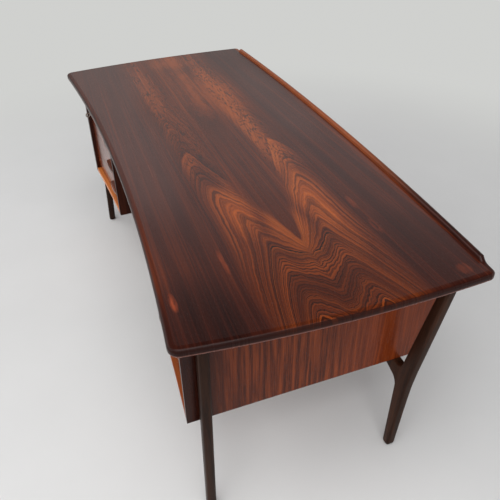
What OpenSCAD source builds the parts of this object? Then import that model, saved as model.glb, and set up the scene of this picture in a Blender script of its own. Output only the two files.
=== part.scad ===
// Executive desk with a curved top, two three-drawer pedestals hung below it, straight front
// legs, forked rear legs and an open bookcase at the back. Millimetres, +Z up, -Y to the user.

/* [Top] */
// Length of the top from front corner to front corner
top_front_len = 1778; // [1600:2:1900]
// Length of the top from rear corner to rear corner
top_rear_len = 1844; // [1700:2:1960]
// Depth of the top from front corner to rear corner
top_depth = 804; // [760:2:860]
// Height of the work surface above the floor
top_height = 730; // [710:1:770]
// Thickness of the top
top_t = 24; // [20:1:30]
// How far the front edge curves in at its middle
front_bow = 48; // [30:1:60]
// How far the rear edge curves out at its middle
rear_bow = 31; // [20:1:45]
// How far each end curves out at its middle
end_bow = 21; // [8:1:26]
// Radius of the front corners in plan
front_corner_r = 28; // [18:1:40]
// Radius of the rear corners in plan
rear_corner_r = 18; // [17:1:30]
// Width of the solid edging
edge_w = 16; // [15:0.5:17]
// Radius of the rounded arrises of the edging
edge_r = 8; // [4:0.5:9]
// Height of the raised lip above the work surface
lip_h = 11.5; // [8:0.5:18]
// Thickness of the raised lip
lip_t = 14.5; // [11:0.5:15]
// Radius of the lip's rounded top
lip_r = 5.5; // [3:0.5:5.5]
// Distance from each rear corner to the end of the lip
lip_end = 34; // [28:1:60]
// Radius of the hollow that each end of the lip runs out in
lip_end_r = 34; // [20:1:50]

/* [Case] */
// Distance from the front corners of the top in to the outer sides of the case
case_inset = 132; // [116:1:170]
// Width of the kneehole
kneehole_w = 654; // [600:2:700]
// Height of the case
case_h = 334; // [322:1:356]
// Gap between the case and the underside of the top, bridged by the rails
case_gap = 58; // [40:1:76]
// How far the top overhangs the front of the case
front_overhang = 33; // [20:1:45]
// How far the back of the case lies in front of the top's rear corners
rear_overhang = 12; // [6:1:40]
// Thickness of the case's boards
board_t = 18; // [16:0.5:20]
// Thickness of the dividers behind the drawers and the kneehole
divider_t = 12; // [9:0.5:16]
// Depth of the bookcase at the back
bookcase_depth = 282; // [240:1:310]
// Thickness of the shelf in the middle bay
shelf_t = 14; // [12:0.5:18]
// Thickness of the rails between the case and the top
rail_t = 22; // [16:1:30]
// Length of the rails between the case and the top
rail_len = 1240; // [1100:2:1300]
// Distance from the front corners of the top back to the front rail
front_rail_inset = 190; // [150:1:260]
// Distance from the rear corners of the top forward to the rear rail
rear_rail_inset = 120; // [60:1:200]

/* [Drawers] */
// How far the drawer fronts lie back from the front of the case
drawer_recess = 14; // [8:1:18]
// Thickness of the drawer fronts
front_t = 20; // [18:1:22]
// Gap round each drawer front
drawer_gap = 2; // [1:0.5:3]
// Gap between the drawer sides and the case
side_gap = 3; // [2:0.5:4]
// Thickness of the drawer sides and backs
side_t = 12; // [11:0.5:14]
// Height of the drawer sides
side_h = 78; // [66:1:80]
// Distance from the bottom of a drawer front up to its sides
side_lift = 7; // [4:1:9]
// Thickness of the drawer bottoms
floor_t = 5; // [4:0.5:6]
// Distance from the underside of the drawer sides up to the bottoms
floor_lift = 7; // [6:0.5:10]
// Depth of the grooves that hold the drawer bottoms
floor_groove = 5; // [3:0.5:5]
// Gap between the back of a drawer and the divider behind it
back_gap = 20; // [10:1:40]
// Gap left by the glue line between the pieces of a drawer box
glue_gap = 0.2; // [0.1:0.05:0.3]
// Height of the runners
runner_h = 14; // [10:1:18]
// Length of the runners
runner_len = 340; // [250:5:350]
// Depth of the groove in a drawer side for its runner
runner_groove = 6; // [4:0.5:6]
// Clearance between a runner and its groove
runner_fit = 0.4; // [0.2:0.05:0.6]
// Number of dovetails at each corner of a drawer box
tail_count = 3; // [2:1:4]
// Width of a dovetail at its end
tail_w = 15; // [10:0.5:15]
// Slope of the sides of a dovetail
tail_slope = 0.14; // [0.1:0.01:0.18]
// Length of the lapped dovetails in the drawer front
lap = 12; // [8:0.5:14]

/* [Pulls and lock] */
// Length of a pull
pull_len = 108; // [80:1:130]
// Height of a pull
pull_h = 19; // [17:1:26]
// How far a pull stands out from the drawer front at its middle
pull_out = 18; // [16:0.5:22]
// How far a pull's outline draws back towards its ends
pull_end_bow = 4; // [2:0.5:6]
// Distance from the kneehole end of a drawer front to the pull
pull_inset = 3; // [2:1:40]
// Height of the pull's middle above the bottom of the drawer front
pull_z = 64; // [56:1:78]
// Radius of the finger hollow under a pull
pull_cove_r = 8; // [6:0.5:8.5]
// Distance from the outer end of the top drawer front to the lock
lock_inset = 30; // [28:1:60]
// Height of the lock above the bottom of the top drawer front
lock_z = 70; // [40:1:76]
// Diameter of the lock's barrel
lock_d = 17; // [16:0.5:20]
// Length of the lock's barrel
lock_len = 17; // [16:0.5:18]
// Diameter of the lock's rosette
rosette_d = 22; // [21:0.5:26]
// Thickness of the lock's rosette
rosette_t = 1.5; // [1:0.1:2.5]
// Thickness of the wall round the lock's chamber
chamber_wall = 2; // [1.5:0.1:2.5]
// Diameter of the key's shank
key_d = 4; // [3:0.5:5]
// Thickness of the key's bit and bow
key_t = 1.8; // [1.4:0.1:2.4]
// Clearance between the key and the lock
key_fit = 0.3; // [0.2:0.05:0.5]
// Outer diameter of the key's bow
bow_d = 20; // [16:1:26]
// Distance from the drawer front out to the key's bow
bow_out = 8; // [6:1:14]

/* [Legs] */
// Height of the glides under the feet
glide_t = 3; // [2:0.5:6]
// Diameter of the glides
glide_d = 15; // [10:1:18]
// Distance from the top's front corner in to the front foot, along the length
front_foot_in = 77; // [74:1:90]
// Distance from the top's front corner back to the front foot
front_foot_back = 80; // [60:1:110]
// How far a front leg leans in towards the case on its way up
front_lean_in = 42; // [10:1:42]
// How far a front leg leans back on its way up
front_lean_back = 23; // [0:1:30]
// Width of a front leg at its foot, along the length of the desk
front_foot_w = 26; // [22:1:32]
// Width of a front leg under the top, along the length of the desk
front_head_w = 32; // [26:1:33]
// Thickness of all legs at the foot
foot_t = 27; // [22:1:30]
// Thickness of all legs under the top
head_t = 30; // [26:1:38]
// Radius of the legs' rounded arrises
leg_r = 7; // [4:0.5:7.5]
// Diameter of the spacers between the front legs and the case
spacer_d = 20; // [14:1:24]
// Height of the lower spacers above the case's underside
spacer_low = 12; // [12:1:60]
// Distance of the upper spacers below the case's top
spacer_high = 70; // [50:1:120]
// Distance from the case's side out to the rear foot
rear_foot_out = 63; // [54:0.5:70]
// Distance from the top's rear corner forward to the rear foot
rear_foot_fwd = 135; // [110:1:170]
// How far a rear leg leans back for each millimetre that it rises
rear_lean = 0.0825; // [0.04:0.0025:0.1]
// Width of a rear leg's foot
rear_foot_w = 29; // [24:1:34]
// Width of a rear leg's stem below the fork
stem_w = 49; // [42:1:53]
// Distance from the top's rear corner in to the long arm where it meets the top
arm_inset = 36; // [24:1:44]
// Width of the long arm where it meets the top
arm_w = 28; // [22:1:32]
// Distance from the case's side out to the fork
fork_out = 36; // [32:1:42]
// Radius of the fork's throat
fork_r = 18; // [8:1:22]
// Depth of the short arm where it leaves the stem
spur_t = 56; // [46:1:62]
// Depth of the short arm at its tip
spur_tip_t = 24; // [18:1:30]
// How far the short arm reaches in under the case
spur_reach = 78; // [50:1:110]
// Radius of the hollow below the short arm
armpit_r = 32; // [16:1:36]
// Distance from the case's underside down to the bend of the outer edge
bend_drop = 40; // [30:1:120]

/* [Hidden] */

wood = "#5b2d1b";
wood_dark = "#3a2218";
wood_lit = "#8a4a26";
maple = "#c9a878";
brass = "#b9964f";
steel = "#9a9a96";
felt = "#3c3a38";

// Angles between points on the large plan curves and on small roundings
arc_step = 0.35;
turn_step = 12;
tiny = 0.0001;
small_fn = 48;
over = 1;

function unit(v) = v / norm(v);
function turned(v, a) = [v.x * cos(a) - v.y * sin(a), v.x * sin(a) + v.y * cos(a)];
function across(a, b) = a.x * b.y - a.y * b.x;
function left_of(v) = [-v.y, v.x];
function heading(v) = atan2(v.y, v.x);

// Radius of an arc from half its chord and its rise
function arc_r(half, rise) = (half * half + rise * rise) / (2 * rise);

// Angles from a to b, evenly spread and no further apart than step
function spread(a, b, step) = let (n = max(1, ceil(abs(b - a) / step))) [for (k = [0:n]) a + (b - a) * k / n];

// Points on an arc about c, at the angles
function arc_points(c, r, angles) = [for (t = angles) c + r * [cos(t), sin(t)]];

// A list without its first item
function less_first(v) = [for (k = [1:len(v) - 1]) v[k]];

// Where two circles meet, to the left of the line from the first centre to the second
function meet(c1, r1, c2, r2) =
    let (d = norm(c2 - c1), a = (r1 * r1 - r2 * r2 + d * d) / (2 * d))
    c1 + a * unit(c2 - c1) + sqrt(r1 * r1 - a * a) * left_of(unit(c2 - c1));

// Plan of the top: corners on the right, before the origin is moved to the middle
front_half = top_front_len / 2;
rear_half = top_rear_len / 2;
front_r = arc_r(front_half, front_bow);
rear_r = arc_r(rear_half, rear_bow);
end_chord = [rear_half - front_half, top_depth];
end_r = arc_r(norm(end_chord) / 2, end_bow);
raw_front_c = [0, front_bow - front_r];
raw_rear_c = [0, top_depth + rear_bow - rear_r];
raw_end_c = [front_half, 0] + end_chord / 2 + left_of(unit(end_chord)) * (end_r - end_bow);
raw_front_corner = meet(raw_end_c, end_r - front_corner_r, raw_front_c, front_r + front_corner_r);
front_most = raw_front_corner.y - front_corner_r;
rear_most = top_depth + rear_bow;
middle = [0, (front_most + rear_most) / 2];

front_c = raw_front_c - middle;
rear_c = raw_rear_c - middle;
end_c = raw_end_c - middle;
front_corner = raw_front_corner - middle;
rear_corner = meet(end_c, end_r - rear_corner_r, rear_c, rear_r - rear_corner_r);
front_y = -middle.y;
rear_y = top_depth - middle.y;
top_z = top_height - top_t;
edge_step = 22.5;
lip_points = 90 / edge_step;
lip_steps = 6;
lip_reach = rear_half - lip_end;
lip_run = lip_end_r > lip_h ? sqrt(lip_end_r * lip_end_r - (lip_end_r - lip_h) ^ 2) : lip_end_r;

// Case
case_half = front_half - case_inset;
case_top = top_z - case_gap;
case_bottom = case_top - case_h;
case_r = front_r + front_overhang;
face_r = case_r + drawer_recess;
case_back = rear_y - rear_overhang;
shelf_front = case_back - bookcase_depth;
outer_in = case_half - board_t;
inner_out = kneehole_w / 2;
inner_in = inner_out + board_t;
floor_z = case_bottom + board_t;
ceil_z = case_top - board_t;
shelf_set = 10;

// Drawers
drawer_h = (ceil_z - floor_z - 4 * drawer_gap) / 3;
drawer_pitch = drawer_h + drawer_gap;
drawer_in = inner_in + drawer_gap;
drawer_out = outer_in - drawer_gap;
box_in = inner_in + side_gap;
box_out = outer_in - side_gap;
box_back = shelf_front - divider_t - back_gap;
back_r = face_r + front_t;
side_top = side_lift + side_h;
runner_z = side_lift + side_h / 2;
runner_w = side_gap + runner_groove - runner_fit;
runner_start = 26;
runner_stop = 12;
back_z = side_lift + floor_lift + floor_t;
back_h = side_h - floor_lift - floor_t;
floor_in = box_in + side_t - floor_groove + glue_gap;
floor_out = box_out - side_t + floor_groove - glue_gap;
tail_root = 2;
side_xs = [box_in, box_out - side_t];

// Pulls and lock
pull_mid = drawer_in + pull_inset + pull_len / 2;
pull_r = arc_r(pull_len / 2, pull_end_bow);
pull_end_r = 7;
pull_nose_r = 4;
pull_web = 5;
pull_slope = 3;
pull_seat = face_r * (1 - cos(asin(pull_len / 2 / face_r))) + face_r * (1 - cos(arc_step / 2));
lock_x = drawer_out - lock_inset;
lock_front = 5;
bit_r = lock_d / 2 - chamber_wall - key_fit;
bit_len = 6;
bit_from = lock_front + key_fit;
bow_wall = 4;

// Legs
front_foot = [front_half - front_foot_in, front_y + front_foot_back];
rear_foot = [case_half + rear_foot_out, rear_y - rear_foot_fwd];
leg_h = top_z - glide_t;
foot_round = 6;
rear_foot_r = 11;
bend_r = 900;
round_steps = 4;

// Height above the bottom of a drawer front of the level
function drawer_z(level) = floor_z + drawer_gap + level * drawer_pitch;

// Share of the leg's height at which z lies
function rise(z) = (z - glide_t) / leg_h;

// Thickness of a leg at height z
function leg_t(z) = foot_t + (head_t - foot_t) * rise(z);

// A polygon's corner p rounded to radius r, as points from the line a-p to the line p-b
function corner_points(a, p, b, r) =
    r == 0 ? [p] :
    let (
        come = unit(p - a),
        go = unit(b - p),
        turn = atan2(across(come, go), come * go),
        back = r * tan(abs(turn) / 2),
        aside = left_of(come) * sign(turn),
        centre = p - come * back + aside * r,
        steps = max(2, ceil(abs(turn) / turn_step))
    )
    [for (k = [0:steps]) centre + turned(-aside * r, turn * k / steps)];

// A closed outline from corners [x, y, radius]
function outline(corners) =
    let (n = len(corners), p = [for (c = corners) [c.x, c.y]])
    [for (i = [0:n - 1]) each corner_points(p[(i + n - 1) % n], p[i], p[(i + 1) % n], corners[i].z)];

// A closed outline drawn in by d, for an outline that runs anticlockwise
function drawn_in(points, d) =
    let (n = len(points))
    [for (i = [0:n - 1])
        let (
            a = left_of(unit(points[i] - points[(i + n - 1) % n])),
            b = left_of(unit(points[(i + 1) % n] - points[i])),
            m = unit(a + b)
        )
        points[i] + m * d / (m * a)];

// Whether point q lies strictly inside the triangle a, b, c
function inside(q, a, b, c) =
    across(b - a, q - a) > tiny && across(c - b, q - b) > tiny && across(a - c, q - c) > tiny;

// Whether the outline's corner i, among those left, can be cut off without cutting another
function is_ear(p, left, i) =
    let (n = len(left), a = p[left[(i + n - 1) % n]], b = p[left[i]], c = p[left[(i + 1) % n]])
    across(b - a, c - b) > tiny && len([for (k = left) if (inside(p[k], a, b, c)) k]) == 0;

// Triangles that fill an outline, as lists of its points' numbers
function triangles(p, left) =
    let (n = len(left))
    n == 3 ? [left] :
    let (i = [for (k = [0:n - 1]) if (is_ear(p, left, k)) k][0])
    concat([[left[(i + n - 1) % n], left[i], left[(i + 1) % n]]],
        triangles(p, [for (k = [0:n - 1]) if (k != i) left[k]]));

// A skin of triangles over rings of n points each, closed at either end by the triangles in cap
module skin(rings, cap) {
    n = len(rings[0]);
    last = (len(rings) - 1) * n;
    polyhedron(
        points = [for (ring = rings) each ring],
        faces = concat(
            cap,
            [for (t = cap) [last + t[2], last + t[1], last + t[0]]],
            [for (j = [0:n:last - n], i = [0:n - 1]) [j + i, j + n + i, j + n + (i + 1) % n]],
            [for (j = [0:n:last - n], i = [0:n - 1]) [j + i, j + n + (i + 1) % n, j + (i + 1) % n]]
        )
    );
}

// A skin whose ends have no hollow in their outline
module round_skin(rings) skin(rings, [for (i = [1:len(rings[0]) - 2]) [0, i, i + 1]]);

// Draws its children on the side: 0 is the left, 1 the right
module on_side(side) mirror([side == 0 ? 1 : 0, 0, 0]) children();

module block(from, to) translate(from) cube(to - from);

// Height of the arc of radius r about the front curve's centre, at x
function arc_y(r, x) = front_c.y + sqrt(r * r - x * x);

// Plan of a strip from x = a to x = b that starts on the arc of radius r and ends at y = back
module strip(a, b, r, back)
    polygon(concat(arc_points(front_c, r, spread(acos(a / r), acos(b / r), arc_step)),
        [[b, back], [a, back]]));

// Places its children on the drawer faces' curve at x, with -Y straight out of the face
module on_face(x, z) translate([front_c.x, front_c.y, z])
    rotate(-asin(x / face_r))
    translate([0, face_r, 0])
    children();

// Turns a drawing in the plane of Y and Z into a solid of length len along X
module along_x(len) rotate([90, 0, 90]) linear_extrude(len) children();

// Top

// Rings of a sweep along an arc about c. A section's points are [in from the edge, up], and side is
// 1 where the wood lies inside the arc and -1 where it lies outside.
function swept(c, r, side, angles, section) =
    [for (t = angles) [for (q = section) [each (c + (r - side * q.x) * [cos(t), sin(t)]), top_z + q.y]]];

// Rings in mirror image, in reverse order
function mirrored(rings) = [for (i = [len(rings) - 1:-1:0]) [for (p = rings[i]) [-p.x, p.y, p.z]]];

// Share of its height that the lip has at x
function lip_share(x) =
    let (d = lip_reach - abs(x))
    d <= 0 ? 0 : min(1, (lip_end_r - sqrt(max(0, lip_end_r * lip_end_r - d * d))) / lip_h);

front_turn = [heading(front_c - front_corner), heading(front_corner - end_c)];
rear_turn = [heading(rear_corner - end_c), heading(rear_corner - rear_c)];

// From the left front corner along the front to the right front corner
function front_rings(section) =
    let (half = concat(
        swept(front_c, front_r, -1, spread(90, heading(front_corner - front_c), arc_step), section),
        less_first(swept(front_corner, front_corner_r, 1, spread(front_turn.x, front_turn.y, turn_step),
            section))
    ))
    concat(mirrored(half), less_first(half));

// From the right front corner along the right end
function end_rings(section) = swept(end_c, end_r, 1, spread(front_turn.y, rear_turn.x, arc_step), section);

// From the right rear corner along the rear, with the section changing from plain to raised at the lip
function rear_rings(plain, raised) =
    let (
        runs = [for (k = [0:lip_steps]) acos((lip_reach - lip_run * k / lip_steps) / rear_r)],
        angles = concat([rear_turn.y], runs, less_first(spread(runs[lip_steps], 90, arc_step))),
        corner = swept(rear_corner, rear_corner_r, 1, spread(rear_turn.x, rear_turn.y, turn_step), plain),
        rear = [for (t = less_first(angles))
            let (k = lip_share(rear_r * cos(t)))
            swept(rear_c, rear_r, 1, [t], plain * (1 - k) + raised * k)[0]],
        half = concat(corner, rear)
    )
    concat(half, less_first(mirrored(half)));

function board_outline() =
    let (
        line = [[edge_w, 0]],
        end = end_rings(line),
        rings = concat(front_rings(line), less_first(end), less_first(rear_rings(line, line)),
            less_first(mirrored(end)))
    )
    [for (ring = less_first(rings)) [ring[0].x, ring[0].y]];

module top_board() color(wood) translate([0, 0, top_z]) linear_extrude(top_t) polygon(board_outline());

// Outer side of the edging's section, from its underside to the top of its outer face
edge_under = arc_points([edge_r, edge_r], edge_r, spread(-90, -180, edge_step));

function edge_section() = concat(
    [[edge_w, top_t], [edge_w, 0]],
    edge_under,
    arc_points([edge_r, top_t - edge_r], edge_r, spread(180, 90, edge_step)),
    [for (k = [0:lip_points]) [edge_r + (lip_t - edge_r) * (k + 1) / (lip_points + 2), top_t]],
    [[lip_t, top_t]]
);

function lip_section() = concat(
    [[edge_w, top_t], [edge_w, 0]],
    edge_under,
    arc_points([lip_r, top_t + lip_h - lip_r], lip_r, spread(180, 90, edge_step)),
    arc_points([lip_t - lip_r, top_t + lip_h - lip_r], lip_r, spread(90, 0, edge_step)),
    [[lip_t, top_t]]
);

// The edging's section without the points that only the lip needs
function plain_section() = [for (q = edge_section()) if (q.y < top_t || q.x <= edge_r || q.x == edge_w) q];

module front_edging() color(wood_dark) round_skin(front_rings(plain_section()));

module left_edging() color(wood_dark) on_side(0) round_skin(end_rings(plain_section()));

module right_edging() color(wood_dark) on_side(1) round_skin(end_rings(plain_section()));

module rear_edging() color(wood_dark) round_skin(rear_rings(edge_section(), lip_section()));

// Legs

// Rounded rectangle w by t about the origin, as points that run anticlockwise
function leg_section(w, t) = outline([[-w / 2, -t / 2, leg_r], [w / 2, -t / 2, leg_r], [w / 2, t / 2, leg_r],
    [-w / 2, t / 2, leg_r]]);

// Middle of a front leg at height z
function front_leg_at(z) = front_foot + [-front_lean_in, front_lean_back] * rise(z);

// Width of a front leg at height z
function front_leg_w(z) = front_foot_w + (front_head_w - front_foot_w) * rise(z);

// X of a front leg's inner face at height z
function front_leg_in(z) = front_leg_at(z).x - front_leg_w(z) / 2;

function front_leg_ring(z, inset) =
    [for (p = drawn_in(leg_section(front_leg_w(z), leg_t(z)), inset)) [each (front_leg_at(z) + p), z]];

module front_leg() {
    foot_rings = [for (k = [0:round_steps])
        let (a = 90 * k / round_steps)
        front_leg_ring(glide_t + foot_round * (1 - cos(a)), foot_round * (1 - sin(a)))];
    round_skin(concat(foot_rings, [front_leg_ring(top_z, 0)]));
}

module left_front_leg() color(wood_dark) on_side(0) front_leg();

module right_front_leg() color(wood_dark) on_side(1) front_leg();

// Corners of the rear leg's outline, seen from the front: x, z and radius
function rear_leg_corners() =
    let (
        out = rear_foot.x + rear_foot_w / 2,
        arm = rear_half - arm_inset,
        top = top_z + leg_r,
        fork = case_half + fork_out,
        tip = case_half - spur_reach
    )
    [
        [out - rear_foot_w, glide_t, rear_foot_r],
        [out, glide_t, rear_foot_r],
        [out, case_bottom - bend_drop, bend_r],
        [arm, top, 0],
        [arm - arm_w, top, 0],
        [fork, case_bottom, fork_r],
        [tip, case_bottom, leg_r + 1],
        [tip, case_bottom - spur_tip_t, leg_r + 1],
        [out - stem_w, case_bottom - spur_t, armpit_r]
    ];

// One ring of the rear leg: the outline drawn in, at a share of the leg's thickness less shy
function rear_leg_ring(points, inset, share, shy) =
    [for (p = drawn_in(points, inset))
        let (z = min(p.y, top_z))
        [p.x, rear_foot.y + rear_lean * (z - glide_t) + share * (leg_t(z) / 2 - shy), z]];

module rear_leg() {
    points = outline(rear_leg_corners());
    steps = [for (k = [0:round_steps]) 90 * k / round_steps];
    shape = [for (a = steps) [leg_r * (1 - sin(a)), leg_r * (1 - cos(a))]];
    skin(concat(
        [for (k = [0:round_steps]) rear_leg_ring(points, shape[k].x, 1, shape[k].y)],
        [for (k = [round_steps:-1:0]) rear_leg_ring(points, shape[k].x, -1, shape[k].y)]
    ), triangles(drawn_in(points, leg_r), [for (i = [0:len(points) - 1]) i]));
}

module left_rear_leg() color(wood_dark) on_side(0) rear_leg();

module right_rear_leg() color(wood_dark) on_side(1) rear_leg();

module leg_spacers() color(wood_dark)
    for (side = [0, 1], z = [case_bottom + spacer_low, case_top - spacer_high]) on_side(side)
    translate([case_half, front_leg_at(z).y, z])
    rotate([0, 90, 0])
    cylinder(d = spacer_d, h = front_leg_in(z + spacer_d / 2) - case_half, $fn = small_fn);

module leg_glides() color(felt) for (side = [0, 1], foot = [front_foot, rear_foot]) on_side(side)
    translate([foot.x, foot.y, 0])
    cylinder(d = glide_d, h = glide_t, $fn = small_fn);

// Case

module case_board(a, b, z, h) translate([0, 0, z]) linear_extrude(h) strip(a, b, case_r, case_back);

module outer_side(side) color(wood) on_side(side) case_board(outer_in, case_half, case_bottom, case_h);

module inner_side(side) color(wood) on_side(side) case_board(inner_out, inner_in, case_bottom, case_h);

module bottom_board(side) color(wood) on_side(side) case_board(inner_in, outer_in, case_bottom, board_t);

module top_panel(side) color(wood) on_side(side) case_board(inner_in, outer_in, ceil_z, board_t);

module divider(side) color(wood) on_side(side)
    block([inner_in, shelf_front - divider_t, floor_z], [outer_in, shelf_front, ceil_z]);

// A board of the middle bay, from one pedestal to the other
module bay_board(y, back, z, h) block([-inner_out, y, z], [inner_out, back, z + h]);

module middle_bottom_board() color(wood) bay_board(shelf_front - divider_t, case_back, case_bottom, board_t);

module middle_top_panel() color(wood) bay_board(shelf_front - divider_t, case_back, ceil_z, board_t);

module middle_back_panel() color(wood)
    bay_board(shelf_front - divider_t, shelf_front, floor_z, ceil_z - floor_z);

module middle_shelf() color(wood)
    bay_board(shelf_front, case_back - shelf_set, (floor_z + ceil_z - shelf_t) / 2, shelf_t);

module rail(y) block([-rail_len / 2, y, case_top], [rail_len / 2, y + rail_t, top_z]);

module front_rail() color(wood_dark) rail(front_y + front_rail_inset);

module rear_rail() color(wood_dark) rail(rear_y - rear_rail_inset - rail_t);

module runners(side) color(maple) on_side(side) for (level = [0:2]) {
    z = drawer_z(level) + runner_z - runner_h / 2;
    for (x = [inner_in, outer_in - runner_w]) {
        y = arc_y(back_r, x + runner_w) + runner_start;
        block([x, y, z], [x + runner_w, y + runner_len, z + runner_h]);
    }
}

// Drawers

// Puts its children on a side of the desk and at a drawer's level
module on_drawer(side, level) on_side(side) translate([0, 0, drawer_z(level)]) children();

// A row of dovetails over height h that reach out along +Y from y = 0, grown by grow all round
module tails(h, reach, grow) translate([-grow, 0, 0]) along_x(side_t + 2 * grow) {
    half = tail_w / 2 + grow;
    root = half - tail_slope * (reach + tail_root);
    for (i = [0:tail_count - 1]) translate([0, h * (i + 0.5) / tail_count])
        polygon([[-tail_root, -root], [reach + grow, -half], [reach + grow, half], [-tail_root, root]]);
}

// The lapped dovetails at the front end of the side at x, grown by grow
module front_tails(x, grow)
    translate([x, arc_y(back_r, x + side_t) + glue_gap, side_lift])
    mirror([0, 1, 0])
    tails(side_h, lap, grow);

// The through dovetails at the back end of the side at x, grown by grow
module back_tails(x, grow)
    translate([x, box_back - side_t, back_z])
    tails(back_h, side_t, grow);

// Grooves for the runners in the outer faces of a drawer box
module runner_grooves() for (x = side_xs) {
    outer_x = x == box_in ? box_in - over : box_out - runner_groove;
    block([outer_x, arc_y(back_r, x + side_t) + runner_stop, runner_z - runner_h / 2 - runner_fit],
        [outer_x + runner_groove + over, box_back + over, runner_z + runner_h / 2 + runner_fit]);
}

// Plan of a drawer's bottom, grown by grow all round
module floor_plan(grow)
    strip(floor_in - grow, floor_out + grow, back_r - floor_groove + glue_gap - grow, box_back + grow);

// Plan of a drawer front: a strip of even thickness that follows the front's curve
module front_plan() {
    face = spread(acos(drawer_in / face_r), acos(drawer_out / face_r), arc_step);
    back = spread(acos(drawer_out / back_r), acos(drawer_in / back_r), arc_step);
    polygon(concat(arc_points(front_c, face_r, face), arc_points(front_c, back_r, back)));
}

module drawer_front(side, level) color(wood) on_drawer(side, level) difference() {
    linear_extrude(drawer_h) front_plan();
    for (x = side_xs) front_tails(x, glue_gap);
    translate([0, 0, back_z - floor_t - glue_gap])
        linear_extrude(floor_t + 2 * glue_gap)
        floor_plan(glue_gap);
    if (level == 2) translate([0, 0, -drawer_z(level)]) on_face(lock_x, drawer_z(level) + lock_z)
        rotate([-90, 0, 0])
        translate([0, 0, -over])
        cylinder(d = lock_d + 2 * glue_gap, h = 2 * front_t, $fn = small_fn);
}

// The side of a drawer box at x, with its dovetails
module box_side(x) difference() {
    union() {
        difference() {
            translate([0, 0, side_lift]) linear_extrude(side_h)
                strip(x, x + side_t, back_r + glue_gap, box_back);
            block([x - over, box_back - side_t, back_z], [x + side_t + over, box_back + over, side_top + over]);
        }
        front_tails(x, 0);
        back_tails(x, 0);
    }
    runner_grooves();
    translate([0, 0, back_z - floor_t - glue_gap])
        linear_extrude(floor_t + 2 * glue_gap)
        floor_plan(glue_gap);
}

module drawer_box(side, level) color(maple) on_drawer(side, level) {
    for (x = side_xs) box_side(x);
    difference() {
        block([box_in, box_back - side_t + glue_gap, back_z + glue_gap], [box_out, box_back, side_top]);
        for (x = side_xs) back_tails(x, glue_gap);
        runner_grooves();
    }
}

module drawer_floor(side, level) color(maple) on_drawer(side, level)
    translate([0, 0, side_lift + floor_lift])
    linear_extrude(floor_t)
    floor_plan(0);

// Section of a pull: y out from the face is negative, z from the pull's middle
module pull_section() difference() {
    polygon(outline([[0, -pull_h / 2, 0], [0, pull_h / 2, 0], [-pull_out, pull_h / 2 - pull_slope, pull_nose_r],
        [-pull_out, -pull_h / 2, pull_nose_r]]));
    translate([-pull_web - pull_cove_r, -pull_h / 2]) circle(r = pull_cove_r, $fn = small_fn);
}

module drawer_pull(side, level) color(wood_lit) on_side(side) on_face(pull_mid, drawer_z(level) + pull_z)
    intersection() {
        translate([-pull_len / 2, 0, 0]) along_x(pull_len) pull_section();
        translate([0, 0, -pull_h]) linear_extrude(2 * pull_h) intersection() {
            translate([0, pull_r - pull_out]) circle(r = pull_r, $fn = 4 * small_fn);
            polygon(outline([[-pull_len / 2, -pull_seat, 0], [-pull_len / 2, -pull_out, pull_end_r],
                [pull_len / 2, -pull_out, pull_end_r], [pull_len / 2, -pull_seat, 0]]));
        }
    }

// Lock and key: drawn with +Z straight out of the drawer front and -Y down

module on_lock(side) on_side(side) on_face(lock_x, drawer_z(2) + lock_z) rotate([90, 0, 0]) children();

module lock(side) color(brass) on_lock(side) difference() {
    union() {
        translate([0, 0, -lock_len]) cylinder(d = lock_d, h = lock_len + rosette_t, $fn = small_fn);
        translate([0, 0, glue_gap]) cylinder(d = rosette_d, h = rosette_t - glue_gap, $fn = small_fn);
    }
    translate([0, 0, chamber_wall - lock_len])
        cylinder(d = key_d + 2 * key_fit, h = lock_len + 2 * rosette_t, $fn = small_fn);
    translate([0, 0, chamber_wall - lock_len])
        cylinder(r = lock_d / 2 - chamber_wall, h = lock_len - lock_front - chamber_wall, $fn = small_fn);
    translate([-key_t / 2 - key_fit, -bit_r - key_fit, -lock_len / 2])
        cube([key_t + 2 * key_fit, bit_r, lock_len]);
}

module key() color(steel) on_lock(0) {
    translate([0, 0, -bit_from - bit_len])
        cylinder(d = key_d, h = bit_from + bit_len + bow_out + bow_wall / 2, $fn = small_fn);
    translate([-key_t / 2, -bit_r, -bit_from - bit_len]) cube([key_t, bit_r, bit_len]);
    translate([0, 0, bow_out + bow_d / 2]) rotate([0, 90, 0]) difference() {
        cylinder(d = bow_d, h = key_t, center = true, $fn = small_fn);
        cylinder(d = bow_d - 2 * bow_wall, h = key_t + over, center = true, $fn = small_fn);
    }
}

top_board();
front_edging();
left_edging();
right_edging();
rear_edging();
left_front_leg();
right_front_leg();
left_rear_leg();
right_rear_leg();
leg_spacers();
leg_glides();
outer_side(0);  // left_outer_side
outer_side(1);  // right_outer_side
inner_side(0);  // left_inner_side
inner_side(1);  // right_inner_side
bottom_board(0);  // left_bottom_board
bottom_board(1);  // right_bottom_board
top_panel(0);  // left_top_panel
top_panel(1);  // right_top_panel
divider(0);  // left_divider
divider(1);  // right_divider
middle_bottom_board();
middle_top_panel();
middle_back_panel();
middle_shelf();
front_rail();
rear_rail();
runners(0);  // left_drawer_runners
runners(1);  // right_drawer_runners
drawer_front(0, 2);  // left_top_drawer_front
drawer_pull(0, 2);  // left_top_drawer_pull
drawer_box(0, 2);  // left_top_drawer_box
drawer_floor(0, 2);  // left_top_drawer_floor
drawer_front(0, 1);  // left_middle_drawer_front
drawer_pull(0, 1);  // left_middle_drawer_pull
drawer_box(0, 1);  // left_middle_drawer_box
drawer_floor(0, 1);  // left_middle_drawer_floor
drawer_front(0, 0);  // left_bottom_drawer_front
drawer_pull(0, 0);  // left_bottom_drawer_pull
drawer_box(0, 0);  // left_bottom_drawer_box
drawer_floor(0, 0);  // left_bottom_drawer_floor
drawer_front(1, 2);  // right_top_drawer_front
drawer_pull(1, 2);  // right_top_drawer_pull
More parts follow.
